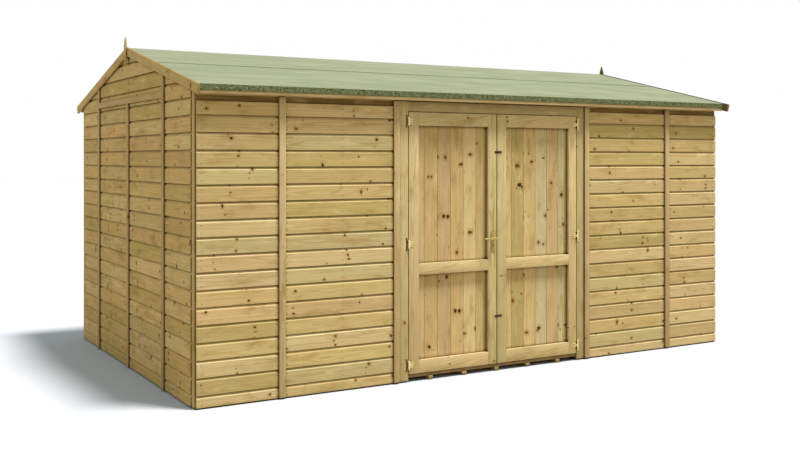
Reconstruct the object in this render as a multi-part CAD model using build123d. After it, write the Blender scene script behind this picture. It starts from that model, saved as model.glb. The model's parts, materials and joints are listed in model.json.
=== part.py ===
from build123d import *

import os
from math import cos, radians, tan

# Apex workshop shed with double doors in its long front wall.
# Millimetres: X runs along the ridge, Y from the front wall to the rear, Z up.
# The origin is on the ground under the middle of the floor.

# Overall sizes
wall_length = 4580.0  # end to end of the front and rear panels
wall_depth = 2936.0  # face to face of the front and rear boards
wall_top = 1955.0  # top of the wall frames
roof_pitch = 13.2  # degrees
heel_height = 69.0  # from the wall top to the roof boards, at the face of the long wall frames

# Floor
bearer_width = 35.0
bearer_height = 29.0
bearer_count = 17
floor_thickness = 12.0

# Wall panels
cladding_thickness = 14.0
cladding_bottom = 9.0  # the boards hang past the floor to just above the ground
bare_rail = 37.0  # how much of the top rail shows above the front and rear boards
stud_width = 35.0
stud_depth = 47.0
bottom_rail_height = 35.0
top_rail_height = 47.0
panel_width = 857.0  # from joint to joint
least_end_panel = 300.0
panel_gap = 2.0  # between the studs of two panels at their joint
widest_bay = 600.0  # a wider one has a stud in its middle

# Cover strips over the panel joints, and the batten over the joint of a gable
strip_width = 45.0
strip_thickness = 13.0
batten_height = 44.0
batten_rise = 32.0  # the batten's middle above the wall top

# Roof
board_thickness = 12.0
felt_thickness = 3.0
eaves_overhang = 65.0  # from the front boards to the felt over the eaves
felt_fold = 40.0  # how far the felt turns down over the eaves
felt_seam = 700.0  # from the ridge to the edge of the ridge felt
felt_lap = 75.0
felt_ramp = 18.0  # run over which the ridge felt steps down off the sheet it laps
fascia_thickness = 20.0
fascia_rise = 5.0  # from the wall top to the fascia's foot
fascia_setback = 6.0  # from the gable boards to the end of the fascia
ridge_beam_width = 35.0
ridge_beam_depth = 70.0
rafter_depth = 47.0
rafter_width = 35.0
purlin_width = 35.0
purlin_rows = 2
tie_height = 45.0
gusset_thickness = 9.0
gusset_length = 220.0
ridge_joint = 2.0  # gap between the two slopes' boards along the ridge

# Bargeboards and finials
bargeboard_thickness = 18.0
bargeboard_height = 62.0
bargeboard_rise = 5.0  # above the felt
bargeboard_reach = 122.0  # past the front and rear boards
finial_width = 46.0
finial_thickness = 12.0
finial_height = 214.0
finial_point = 62.0
finial_rise = 78.0  # above the felt at the ridge

# Doorway and doors
opening_width = 1518.0
post_width = 74.0
head_height = 68.0
sill_thickness = 8.0
sill_setback = 8.0  # from the face of the doors to the sill's lip, which hides the floor boards
bearer_setback = 2.0  # from the face of the doors to the bearers' ends in the doorway
door_side_gap = 5.0
door_middle_gap = 7.0
door_end_gap = 5.0  # over and under a door
left_stile_width = 83.0
right_stile_width = 74.0
door_top_rail = 94.0
door_middle_rail = 79.0
door_bottom_rail = 92.0
middle_rail_rise = 688.0  # from the door's foot to the middle rail
door_frame_thickness = 28.0
door_board_thickness = 12.0
ledge_width = 70.0
ledge_thickness = 20.0
ledge_inset = 22.0  # from the door's edges
brace_width = 70.0
brace_gap = 1.0
stop_width = 15.0
stop_clearance = 5.0  # behind a closed door

# Hinges
knuckle_radius = 6.0
knuckle_length = 20.0
knuckle_gap = 0.4
pin_radius = 3.0
pin_clearance = 0.3
leaf_thickness = 2.5
leaf_clearance = 1.0
post_leaf_width = 12.0
hinge_height = 87.0
flare = 9.0
finger_height = 7.0
finger_pitch = 14.0
finger_length = 33.0
middle_finger_length = 42.0
hinge_end_rise = 64.0  # from the door's ends to the nearest hinge
middle_hinge_rise = 907.0  # from the door's foot

# Lever handle
plate_width = 40.0
plate_height = 146.0
plate_thickness = 4.0
plate_corner = 6.0
plate_from_edge = 30.0  # from the door's free edge to the plate's middle
lever_height = 972.0
plate_below_lever = 94.0
keyhole_drop = 49.0
keyhole_boss_radius = 9.0
keyhole_boss_height = 5.0
keyhole_radius = 3.0
keyhole_slot_width = 3.0
keyhole_slot_length = 6.5
spindle_radius = 5.0
neck_radius = 8.0
neck_length = 34.0
neck_clearance = 0.5
lever_length = 95.0
lever_root_radius = 10.0
lever_tip_radius = 6.5
lever_thickness = 10.0
lever_chamfer = 2.5

# Pairs of plates where the doors meet
meeting_plate_height = 15.0
meeting_plate_thickness = 3.0
left_plate_reach = 16.0  # from the edge of the left door
right_plate_reach = 40.0
lower_plate_rise = 341.0  # from the door's foot to a plate's lower edge
upper_plate_rise = 1544.0

# Lines and faces that several pieces share
slope = tan(radians(roof_pitch))
plumb = 1 / cos(radians(roof_pitch))  # plumb depth of one millimetre square to the slope
half_length = wall_length / 2
half_depth = wall_depth / 2
frame_face = half_depth - cladding_thickness  # outer face of the front and rear frames
frame_back = frame_face - stud_depth
gable_face = half_length + cladding_thickness
gable_back = half_length - stud_depth
floor_top = bearer_height + floor_thickness
stud_foot = floor_top + bottom_rail_height
stud_head = wall_top - top_rail_height
cladding_top = wall_top - bare_rail
gable_joint = wall_top + batten_rise
boards_apex = wall_top + heel_height + slope * frame_face  # underside of the roof boards
felt_apex = boards_apex + (board_thickness + felt_thickness) * plumb
eaves_face = half_depth + eaves_overhang - felt_thickness
half_opening = opening_width / 2
post_edge = half_opening + post_width
door_joint = post_edge + strip_width / 2
truss_place = door_joint
door_foot = floor_top + sill_thickness + door_end_gap
door_head_line = wall_top - head_height - door_end_gap
door_width = half_opening - door_side_gap - door_middle_gap / 2
hinge_line = half_opening - door_side_gap / 2
hinge_face = half_depth + knuckle_radius


def under_boards(y):
    """Height of the roof boards' underside."""
    return boards_apex - slope * abs(y)


def under_felt(y):
    """Height of the roof boards' top, on which the felt lies."""
    return boards_apex + board_thickness * plumb - slope * abs(y)


def felt_top(y):
    return felt_apex - slope * abs(y)


def barge_foot(y):
    """Height of a bargeboard's lower edge."""
    return felt_top(y) + bargeboard_rise - bargeboard_height * plumb


def span(a, b):
    return (min(a, b), max(a, b))


def timber(x, y, z):
    """A straight board or timber between three pairs of faces."""
    sizes = [high - low for low, high in (x, y, z)]
    middles = [(high + low) / 2 for low, high in (x, y, z)]
    return Pos(*middles) * Box(*sizes)


def along_x(outline, x):
    """A timber along the ridge, or a plate across it, from its outline in Y and Z."""
    wire = Polyline(*[(x[0], y, z) for y, z in outline], close=True)
    return extrude(make_face(wire), x[1] - x[0], dir=(1, 0, 0))


def along_y(outline, y):
    """A plate or bar square to the long walls, from its outline in X and Z."""
    wire = Polyline(*[(px, y[0], pz) for px, pz in outline], close=True)
    return extrude(make_face(wire), y[1] - y[0], dir=(0, 1, 0))


def joints_from(first, half_size):
    """Places of the panel joints from the first one outwards."""
    count = int((half_size - least_end_panel - first) // panel_width) + 1
    return [first + k * panel_width for k in range(max(count, 0))]


def both_ways(places):
    return sorted({side * place for place in places for side in (-1, 1)})


front_joints = both_ways(joints_from(door_joint, half_length))
rear_joints = both_ways(joints_from(0, half_length))
gable_joints = both_ways(joints_from(0, half_depth))


def floor_bearers():
    """Bearers from front to rear, those in the doorway long enough to carry the sill."""
    pitch = wall_length / (bearer_count - 1)
    last = half_length - bearer_width / 2
    pieces = []
    for k in range(bearer_count):
        middle = max(-last, min(last, -half_length + k * pitch))
        x = (middle - bearer_width / 2, middle + bearer_width / 2)
        in_doorway = abs(middle) + bearer_width / 2 < half_opening
        front = -half_depth + bearer_setback if in_doorway else -frame_face
        pieces.append(timber(x, (front, frame_face), (0, bearer_height)))
    return pieces


def floor_boards():
    z = (bearer_height, floor_top)
    return [timber((-half_length, half_length), (-frame_face, frame_face), z)]


def door_sill():
    """A threshold on the floor whose lip covers the ends of the floor boards."""
    lip = -half_depth + sill_setback
    top = floor_top + sill_thickness
    outline = [
        (lip, bearer_height),
        (lip, top),
        (-frame_back, top),
        (-frame_back, floor_top),
        (-frame_face, floor_top),
        (-frame_face, bearer_height),
    ]
    return [along_x(outline, (-half_opening, half_opening))]


def front_cladding(side):
    x = span(side * post_edge, side * half_length)
    return [timber(x, (-half_depth, -frame_face), (cladding_bottom, cladding_top))]


def rear_cladding():
    x = (-half_length, half_length)
    return [timber(x, (frame_face, half_depth), (cladding_bottom, cladding_top))]


def gable_cladding(side):
    x = span(side * half_length, side * gable_face)
    return [timber(x, (-frame_back, frame_back), (cladding_bottom, gable_joint))]


def gable_tops():
    outline = [
        (-frame_back, gable_joint),
        (frame_back, gable_joint),
        (frame_back, under_boards(frame_back)),
        (0, boards_apex),
        (-frame_back, under_boards(frame_back)),
    ]
    return [along_x(outline, span(side * half_length, side * gable_face)) for side in (-1, 1)]


def long_wall_rails():
    """The rails of the front and rear frames, the front one's foot split by the doorway."""
    whole = (-half_length, half_length)
    foot = (floor_top, stud_foot)
    head = (stud_head, wall_top)
    front = (-frame_face, -frame_back)
    rear = (frame_back, frame_face)
    pieces = [timber(whole, y, head) for y in (front, rear)]
    pieces.append(timber(whole, rear, foot))
    for side in (-1, 1):
        pieces.append(timber(span(side * half_opening, side * half_length), front, foot))
    return pieces


def joint_studs(places):
    """Two studs at each joint, one of each panel, as spans along the wall."""
    pairs = []
    for place in places:
        for side in (-1, 1):
            near = place + side * panel_gap / 2
            pairs.append(span(near, near + side * stud_width))
    return pairs


def middle_studs(edges):
    """A stud in the middle of each bay that is too wide for its boards, as spans along the wall."""
    spans = []
    for left, right in zip(edges, edges[1:]):
        if right - left > widest_bay:
            middle = (left + right) / 2
            spans.append((middle - stud_width / 2, middle + stud_width / 2))
    return spans


def long_wall_studs():
    z = (stud_foot, stud_head)
    front = (-frame_face, -frame_back)
    rear = (frame_back, frame_face)
    ends = [span(side * (half_length - stud_width), side * half_length) for side in (-1, 1)]
    outer = [place for place in front_joints if abs(place) > door_joint + 1]
    places = joint_studs(outer) + ends
    for side in (-1, 1):
        inner = side * (post_edge + panel_gap)
        places.append(span(side * half_opening, side * post_edge))
        places.append(span(inner, inner + side * stud_width))
        edges = [place for place in front_joints if place * side > 0]
        places += middle_studs(sorted(edges + [side * half_length]))
    pieces = [timber(x, front, z) for x in places]
    rear_places = joint_studs(rear_joints) + ends
    rear_places += middle_studs([-half_length] + rear_joints + [half_length])
    pieces += [timber(x, rear, z) for x in rear_places]
    return pieces


def gable_rails():
    pieces = []
    for side in (-1, 1):
        x = span(side * gable_back, side * half_length)
        for z in ((floor_top, stud_foot), (stud_head, wall_top)):
            pieces.append(timber(x, (-frame_back, frame_back), z))
    return pieces


def gable_studs():
    """The studs of the gable frames, and those above the top rail under the rafters."""
    ends = [span(side * (frame_back - stud_width), side * frame_back) for side in (-1, 1)]
    edges = [-frame_back] + gable_joints + [frame_back]
    pieces = []
    for side in (-1, 1):
        x = span(side * gable_back, side * half_length)
        for y in joint_studs(gable_joints) + ends + middle_studs(edges):
            pieces.append(timber(x, y, (stud_foot, stud_head)))
        x = span(side * (half_length - rafter_width), side * half_length)
        for place in gable_joints:
            low, high = place - stud_width / 2, place + stud_width / 2
            if place == 0:
                tops = [under_boards(ridge_beam_width / 2) - ridge_beam_depth] * 2
            else:
                tops = [under_boards(y) - rafter_depth * plumb for y in (low, high)]
            outline = [(low, wall_top), (high, wall_top), (high, tops[1]), (low, tops[0])]
            pieces.append(along_x(outline, x))
    return pieces


def door_posts():
    z = (cladding_bottom, wall_top)
    y = (-half_depth, -frame_face)
    return [timber(span(side * half_opening, side * post_edge), y, z) for side in (-1, 1)]


def door_head():
    z = (wall_top - head_height, wall_top)
    return [timber((-half_opening, half_opening), (-half_depth, -frame_face), z)]


def door_stops():
    """Fillets behind the doors' edges, up both posts and along the head."""
    back = -half_depth + door_frame_thickness + door_board_thickness
    y = (back + stop_clearance, -frame_back)
    foot, head = floor_top + sill_thickness, wall_top - head_height
    inner = half_opening - stop_width
    pieces = [timber((-half_opening, half_opening), y, (head - stop_width, head))]
    for side in (-1, 1):
        x = span(side * inner, side * half_opening)
        pieces.append(timber(x, y, (foot, head - stop_width)))
    return pieces


def long_wall_cover_strips():
    z = (cladding_bottom, wall_top)
    pieces = []
    for way, joints in ((-1, front_joints), (1, rear_joints)):
        y = span(way * half_depth, way * (half_depth + strip_thickness))
        for place in joints:
            pieces.append(timber((place - strip_width / 2, place + strip_width / 2), y, z))
    return pieces


def gable_cover_strips():
    """The middle strip stops under the batten, the others run up to the bargeboards."""
    batten_foot = gable_joint - batten_height / 2
    pieces = []
    for side in (-1, 1):
        x = span(side * gable_face, side * (gable_face + strip_thickness))
        for place in gable_joints:
            low, high = place - strip_width / 2, place + strip_width / 2
            tops = (batten_foot, batten_foot) if place == 0 else (barge_foot(low), barge_foot(high))
            foot = cladding_bottom
            outline = [(low, foot), (high, foot), (high, tops[1]), (low, tops[0])]
            pieces.append(along_x(outline, x))
    return pieces


def gable_battens():
    reach = max(gable_joints) - strip_width / 2
    z = (gable_joint - batten_height / 2, gable_joint + batten_height / 2)
    pieces = []
    for side in (-1, 1):
        x = span(side * gable_face, side * (gable_face + strip_thickness))
        pieces.append(timber(x, (-reach, reach), z))
    return pieces


def roof_boards(way):
    near = ridge_joint / 2
    outline = [
        (way * near, under_boards(near)),
        (way * eaves_face, under_boards(eaves_face)),
        (way * eaves_face, under_felt(eaves_face)),
        (way * near, under_felt(near)),
    ]
    return [along_x(outline, (-gable_face, gable_face))]


def eaves_fascias():
    inner = eaves_face - fascia_thickness
    reach = gable_face - fascia_setback
    foot = wall_top + fascia_rise
    pieces = []
    for way in (-1, 1):
        outline = [
            (way * inner, foot),
            (way * eaves_face, foot),
            (way * eaves_face, under_boards(eaves_face)),
            (way * inner, under_boards(inner)),
        ]
        pieces.append(along_x(outline, (-reach, reach)))
    return pieces


def bays(reach):
    """The three stretches between the gables and the two trusses."""
    face = truss_place + rafter_width / 2
    near = truss_place - rafter_width / 2
    return [(-reach, -face), (-near, near), (face, reach)]


def purlins():
    """Eaves purlins on the wall tops, and two rows under each slope."""
    depth = rafter_depth * plumb
    pieces = []
    for way in (-1, 1):
        eaves = [
            (way * frame_back, wall_top),
            (way * frame_face, wall_top),
            (way * frame_face, under_boards(frame_face)),
            (way * frame_back, under_boards(frame_back)),
        ]
        pieces += [along_x(eaves, x) for x in bays(half_length)]
        for row in range(1, purlin_rows + 1):
            middle = frame_back * row / (purlin_rows + 1)
            low, high = middle - purlin_width / 2, middle + purlin_width / 2
            outline = [
                (way * low, under_boards(low)),
                (way * high, under_boards(high)),
                (way * high, under_boards(high) - depth),
                (way * low, under_boards(low) - depth),
            ]
            pieces += [along_x(outline, x) for x in bays(half_length - rafter_width)]
    return pieces


def ridge_beam():
    half = ridge_beam_width / 2
    foot = under_boards(half) - ridge_beam_depth
    outline = [
        (-half, foot),
        (half, foot),
        (half, under_boards(half)),
        (0, boards_apex),
        (-half, under_boards(half)),
    ]
    return [along_x(outline, (-half_length, half_length))]


def rafters():
    """A pair against each gable, and a pair on each truss that stands on its tie."""
    half = ridge_beam_width / 2
    depth = rafter_depth * plumb
    tie_top = wall_top + tie_height
    heel = (boards_apex - depth - tie_top) / slope
    pieces = []
    for way in (-1, 1):
        gable = [
            (way * half, under_boards(half)),
            (way * frame_back, under_boards(frame_back)),
            (way * frame_back, under_boards(frame_back) - depth),
            (way * half, under_boards(half) - depth),
        ]
        truss = [
            (way * half, under_boards(half)),
            (way * frame_face, under_boards(frame_face)),
            (way * frame_face, tie_top),
            (way * heel, tie_top),
            (way * half, under_boards(half) - depth),
        ]
        for side in (-1, 1):
            x = span(side * (half_length - rafter_width), side * half_length)
            pieces.append(along_x(gable, x))
            middle = side * truss_place
            pieces.append(along_x(truss, (middle - rafter_width / 2, middle + rafter_width / 2)))
    return pieces


def truss_ties():
    z = (wall_top, wall_top + tie_height)
    pieces = []
    for side in (-1, 1):
        x = (side * truss_place - rafter_width / 2, side * truss_place + rafter_width / 2)
        pieces.append(timber(x, (-frame_face, frame_face), z))
    return pieces


def truss_posts():
    """A king post on each tie, under the ridge beam."""
    z = (wall_top + tie_height, under_boards(ridge_beam_width / 2) - ridge_beam_depth)
    half = stud_depth / 2
    pieces = []
    for side in (-1, 1):
        x = (side * truss_place - rafter_width / 2, side * truss_place + rafter_width / 2)
        pieces.append(timber(x, (-half, half), z))
    return pieces


def truss_gussets():
    """Plywood plates on both faces of each truss heel, inside the eaves purlins."""
    outer = frame_back - gusset_thickness
    inner = outer - gusset_length
    pieces = []
    for way in (-1, 1):
        outline = [
            (way * inner, wall_top),
            (way * outer, wall_top),
            (way * outer, under_boards(outer) - gusset_thickness),
            (way * inner, under_boards(inner) - gusset_thickness),
        ]
        for side in (-1, 1):
            for face in (-1, 1):
                near = side * truss_place + face * rafter_width / 2
                pieces.append(along_x(outline, span(near, near + face * gusset_thickness)))
    return pieces


def bargeboards():
    """Square-cut at their feet and plumb at the apex, where each pair meets behind the finial."""
    near = ridge_joint / 2
    foot = half_depth + bargeboard_reach
    inset = bargeboard_height * slope / plumb
    top = bargeboard_rise
    pieces = []
    for way in (-1, 1):
        outline = [
            (way * near, felt_top(near) + top),
            (way * foot, felt_top(foot) + top),
            (way * (foot - inset), felt_top(foot) + top - bargeboard_height / plumb),
            (way * near, barge_foot(near)),
        ]
        for side in (-1, 1):
            x = span(side * gable_face, side * (gable_face + bargeboard_thickness))
            pieces.append(along_x(outline, x))
    return pieces


def finials():
    half = finial_width / 2
    top = felt_apex + finial_rise
    foot = top - finial_height
    outline = [
        (0, top),
        (half, top - finial_point),
        (half, foot + finial_point),
        (0, foot),
        (-half, foot + finial_point),
        (-half, top - finial_point),
    ]
    near = gable_face + bargeboard_thickness
    return [along_x(outline, span(side * near, side * (near + finial_thickness))) for side in (-1, 1)]


def eaves_felt(way):
    """The lower sheet of a slope, turned down over the eaves."""
    outer = eaves_face + felt_thickness
    upper = felt_seam - felt_lap
    fold = felt_top(outer) - felt_fold
    outline = [
        (way * outer, fold),
        (way * outer, felt_top(outer)),
        (way * upper, felt_top(upper)),
        (way * upper, under_felt(upper)),
        (way * eaves_face, under_felt(eaves_face)),
        (way * eaves_face, fold),
    ]
    return [along_x(outline, (-gable_face, gable_face))]


def ridge_felt():
    """One sheet over the ridge that laps both lower sheets."""
    step = felt_thickness * plumb
    edge = felt_seam - felt_lap
    upper_bend = edge - 1
    lower_bend = upper_bend - felt_ramp
    outside = [
        (felt_seam, felt_top(felt_seam) + step),
        (upper_bend, felt_top(upper_bend) + step),
        (lower_bend, felt_top(lower_bend)),
        (0, felt_apex),
    ]
    inside = [
        (felt_seam, felt_top(felt_seam)),
        (upper_bend, felt_top(upper_bend)),
        (lower_bend, under_felt(lower_bend)),
        (0, under_felt(0)),
    ]
    outline = [(-y, z) for y, z in outside] + outside[-2::-1]
    outline += inside + [(-y, z) for y, z in inside[-2::-1]]
    return [along_x(outline, (-gable_face, gable_face))]


def door_span(side):
    """The door's width along X."""
    edge = side * (half_opening - door_side_gap)
    return span(edge, edge - side * door_width)


def spindle_hole(side, y):
    """The hole for the lever's spindle, which only the left door has."""
    if side > 0:
        return []
    radius = spindle_radius + neck_clearance
    hole = Cylinder(radius, y[1] - y[0] + 2, rotation=(90, 0, 0))
    return [Pos(lever_place, (y[0] + y[1]) / 2, lever_height) * hole]


def door_stiles(side):
    x0, x1 = door_span(side)
    y = (-half_depth, -half_depth + door_frame_thickness)
    z = (door_foot, door_head_line)
    spans = ((x0, x0 + left_stile_width), (x1 - right_stile_width, x1))
    pieces = [timber(x, y, z) for x in spans]
    for hole in spindle_hole(side, y):
        pieces[1] = (pieces[1] - hole).solids()[0]
    return pieces


def door_rails(side):
    x0, x1 = door_span(side)
    x = (x0 + left_stile_width, x1 - right_stile_width)
    y = (-half_depth, -half_depth + door_frame_thickness)
    middle = door_foot + middle_rail_rise
    heights = (
        (door_foot, door_foot + door_bottom_rail),
        (middle, middle + door_middle_rail),
        (door_head_line - door_top_rail, door_head_line),
    )
    return [timber(x, y, z) for z in heights]


def door_boards(side):
    near = -half_depth + door_frame_thickness
    y = (near, near + door_board_thickness)
    leaf = timber(door_span(side), y, (door_foot, door_head_line))
    for hole in spindle_hole(side, y):
        leaf = (leaf - hole).solids()[0]
    return [leaf]


def door_ledges(side):
    """Three ledges across the back of a door, and braces that rise from the hinge side."""
    x0, x1 = door_span(side)
    near = -half_depth + door_frame_thickness + door_board_thickness
    y = (near, near + ledge_thickness)
    x = (x0 + ledge_inset, x1 - ledge_inset)
    middle = door_foot + middle_rail_rise + (door_middle_rail - ledge_width) / 2
    feet = [
        door_foot + ledge_inset,
        middle,
        door_head_line - ledge_inset - ledge_width,
    ]
    pieces = [timber(x, y, (foot, foot + ledge_width)) for foot in feet]
    hinge, free = (x[1], x[0]) if side > 0 else (x[0], x[1])
    inwards = -side * brace_width
    for foot, head in zip(feet, feet[1:]):
        low, high = foot + ledge_width + brace_gap, head - brace_gap
        outline = [(hinge, low), (hinge + inwards, low), (free, high), (free - inwards, high)]
        pieces.append(along_y(outline, y))
    return pieces


def hinge_heights():
    middle = door_foot + middle_hinge_rise
    return [door_foot + hinge_end_rise, middle, door_head_line - hinge_end_rise]


def meeting_plates(side):
    """Two flat plates on the door's free edge, one over the other."""
    edge = side * door_middle_gap / 2
    reach = left_plate_reach if side < 0 else right_plate_reach
    x = span(edge, edge + side * reach)
    y = (-half_depth - meeting_plate_thickness, -half_depth)
    feet = [door_foot + rise for rise in (lower_plate_rise, upper_plate_rise)]
    return [timber(x, y, (foot, foot + meeting_plate_height)) for foot in feet]


def knuckle(z0, z1):
    barrel = Cylinder(knuckle_radius, z1 - z0)
    return Pos(0, 0, (z0 + z1) / 2) * barrel


def post_hinge_leaf():
    """The fixed half of the left door's hinge, about its pin: a flared plate and two knuckles."""
    half = knuckle_length / 2
    outer = 1.5 * knuckle_length
    y = (knuckle_radius - leaf_thickness, knuckle_radius)
    near = -knuckle_radius - leaf_clearance
    far = near - post_leaf_width
    tip = hinge_height / 2
    outline = [
        (near, -outer),
        (near, outer),
        (near - flare / 2, tip),
        (far - flare / 2, tip),
        (far, outer),
        (far, -outer),
        (far - flare / 2, -tip),
        (near - flare / 2, -tip),
    ]
    leaf = along_y(outline, y)
    for way in (-1, 1):
        z = span(way * (half + knuckle_gap / 2), way * outer)
        leaf += knuckle(*z) + timber((near, 0), y, z)
    leaf += Cylinder(pin_radius, 2 * outer)
    return leaf.solids()[0]


def door_hinge_leaf():
    """The moving half of the left door's hinge: a knuckle and a plate with three fingers."""
    half = (knuckle_length - knuckle_gap) / 2
    y = (knuckle_radius - leaf_thickness, knuckle_radius)
    near = knuckle_radius + leaf_clearance
    root = near + finger_height
    reach = finger_pitch + finger_height / 2
    leaf = timber((near, root), y, (-reach, reach)) + timber((0, near), y, (-half, half))
    for way in (-1, 1):
        z = (way * finger_pitch - finger_height / 2, way * finger_pitch + finger_height / 2)
        leaf += timber((root, near + finger_length), y, z)
    point = near + middle_finger_length
    outline = [
        (root, -finger_height / 2),
        (point - finger_height, -finger_height / 2),
        (point, 0),
        (point - finger_height, finger_height / 2),
        (root, finger_height / 2),
    ]
    leaf += along_y(outline, y)
    leaf += knuckle(-half, half)
    leaf -= Cylinder(pin_radius + pin_clearance, knuckle_length + 2)
    return leaf.solids()[0]


def at_hinges(leaf, side):
    """Copies of one hinge half at the three heights, mirrored for the right door."""
    half = leaf if side < 0 else mirror(leaf, Plane.YZ).solids()[0]
    places = [Pos(side * hinge_line, -hinge_face, z) for z in hinge_heights()]
    return [place * half for place in places]


lever_place = -door_middle_gap / 2 - plate_from_edge


def plate_outline(y):
    middle = lever_height - plate_below_lever + plate_height / 2
    box = timber(
        (lever_place - plate_width / 2, lever_place + plate_width / 2),
        y,
        (middle - plate_height / 2, middle + plate_height / 2),
    )
    return fillet(box.edges().filter_by(Axis.Y), plate_corner)


def keyhole():
    """A round hole over a slot, through a plate and its boss."""
    depth = 4 * plate_thickness
    slot = Pos(0, 0, -keyhole_slot_length / 2) * Box(keyhole_slot_width, depth, keyhole_slot_length)
    return Cylinder(keyhole_radius, depth, rotation=(90, 0, 0)) + slot


def handle_plates():
    """The backplates on the face and the back of the left door, with their keyhole bosses."""
    back = -half_depth + door_frame_thickness + door_board_thickness
    pieces = []
    for face, way in ((-half_depth, -1), (back, 1)):
        plate = plate_outline(span(face, face + way * plate_thickness))
        middle = face + way * (plate_thickness + keyhole_boss_height / 2)
        boss = Cylinder(keyhole_boss_radius, keyhole_boss_height, rotation=(90, 0, 0))
        plate += Pos(lever_place, middle, lever_height - keyhole_drop) * boss
        hole = Cylinder(neck_radius + neck_clearance, 4 * plate_thickness, rotation=(90, 0, 0))
        plate -= Pos(lever_place, face, lever_height) * hole
        plate -= Pos(lever_place, middle, lever_height - keyhole_drop) * keyhole()
        pieces.append(plate.solids()[0])
    return pieces


def lever_arm(y):
    """A flat tapered arm that points away from the door's free edge."""
    with BuildPart() as arm:
        with BuildSketch(Plane.XZ.offset(-y[0])):
            with BuildLine():
                CenterArc((0, 0), lever_root_radius, 0, 360)
            make_face()
            with Locations((-lever_length + lever_tip_radius, 0)):
                Circle(lever_tip_radius)
            make_hull()
        extrude(amount=-(y[1] - y[0]))
        chamfer(arm.edges(), lever_chamfer)
    return arm.part


def lever_handle():
    """One lever on each side of the left door, on one spindle, about the spindle's axis."""
    face = -half_depth
    back = face + door_frame_thickness + door_board_thickness
    turned = (90, 0, 0)
    middle = (face + back) / 2
    lever = Pos(0, middle, 0) * Cylinder(spindle_radius, back - face, rotation=turned)
    for start, way in ((face, -1), (back, 1)):
        end = start + way * neck_length
        lever += Pos(0, (start + end) / 2, 0) * Cylinder(neck_radius, neck_length, rotation=turned)
        lever += lever_arm(span(end - way * lever_thickness / 2, end + way * lever_thickness / 2))
    return [Pos(lever_place, 0, lever_height) * lever.solids()[0]]


sub_parts = {
    "floor_bearers": floor_bearers(),
    "floor_boards": floor_boards(),
    "door_sill": door_sill(),
    "front_wall_left": front_cladding(-1),
    "front_wall_right": front_cladding(1),
    "rear_wall": rear_cladding(),
    "left_gable_wall": gable_cladding(-1),
    "right_gable_wall": gable_cladding(1),
    "gable_tops": gable_tops(),
    "long_wall_frames": long_wall_rails() + long_wall_studs(),
    "gable_frames": gable_rails() + gable_studs(),
    "door_posts": door_posts(),
    "door_head": door_head(),
    "door_stops": door_stops(),
    "long_wall_cover_strips": long_wall_cover_strips(),
    "gable_cover_strips": gable_cover_strips(),
    "gable_battens": gable_battens(),
    "front_roof_boards": roof_boards(-1),
    "rear_roof_boards": roof_boards(1),
    "eaves_fascias": eaves_fascias(),
    "purlins": purlins(),
    "ridge_beam": ridge_beam(),
    "rafters": rafters(),
    "truss_timbers": truss_ties() + truss_posts(),
    "truss_gussets": truss_gussets(),
    "bargeboards": bargeboards(),
    "finials": finials(),
    "front_felt": eaves_felt(-1),
    "rear_felt": eaves_felt(1),
    "ridge_felt": ridge_felt(),
    "post_hinge_leaves": at_hinges(post_hinge_leaf(), -1) + at_hinges(post_hinge_leaf(), 1),
    "handle_plates": handle_plates(),
    "lever_handle": lever_handle(),
}
for name, side in (("left_door", -1), ("right_door", 1)):
    sub_parts[name + "_stiles"] = door_stiles(side)
    sub_parts[name + "_rails"] = door_rails(side)
    sub_parts[name + "_boards"] = door_boards(side)
    sub_parts[name + "_ledges"] = door_ledges(side)
    sub_parts[name + "_hinge_leaves"] = at_hinges(door_hinge_leaf(), side)
    sub_parts[name + "_meeting_plates"] = meeting_plates(side)

os.makedirs("parts", exist_ok=True)
for name, pieces in sub_parts.items():
    shape = pieces[0] if len(pieces) == 1 else Compound(children=pieces)
    export_step(shape, f"parts/{name}.step")
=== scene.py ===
import json
import math
import random

import bmesh
import bpy
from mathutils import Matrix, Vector


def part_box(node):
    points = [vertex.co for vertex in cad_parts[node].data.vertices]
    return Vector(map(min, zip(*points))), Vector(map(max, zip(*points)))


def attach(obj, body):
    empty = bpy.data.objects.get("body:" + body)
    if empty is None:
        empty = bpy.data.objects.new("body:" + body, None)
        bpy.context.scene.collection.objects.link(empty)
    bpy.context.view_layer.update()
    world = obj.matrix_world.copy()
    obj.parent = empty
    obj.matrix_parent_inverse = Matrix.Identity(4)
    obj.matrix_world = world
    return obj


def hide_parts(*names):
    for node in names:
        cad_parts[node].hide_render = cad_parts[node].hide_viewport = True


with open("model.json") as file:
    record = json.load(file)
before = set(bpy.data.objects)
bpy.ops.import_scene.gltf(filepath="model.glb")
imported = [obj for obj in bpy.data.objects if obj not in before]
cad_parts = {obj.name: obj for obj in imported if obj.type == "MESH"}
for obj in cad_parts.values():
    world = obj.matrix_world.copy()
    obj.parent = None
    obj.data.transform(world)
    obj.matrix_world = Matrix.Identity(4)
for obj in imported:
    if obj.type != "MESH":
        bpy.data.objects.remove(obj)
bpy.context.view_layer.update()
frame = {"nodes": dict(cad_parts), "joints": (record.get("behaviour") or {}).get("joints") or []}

x_axis, y_axis, z_axis = Vector((1, 0, 0)), Vector((0, 1, 0)), Vector((0, 0, 1))
forwards = Vector((0, -1, 0))

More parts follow.
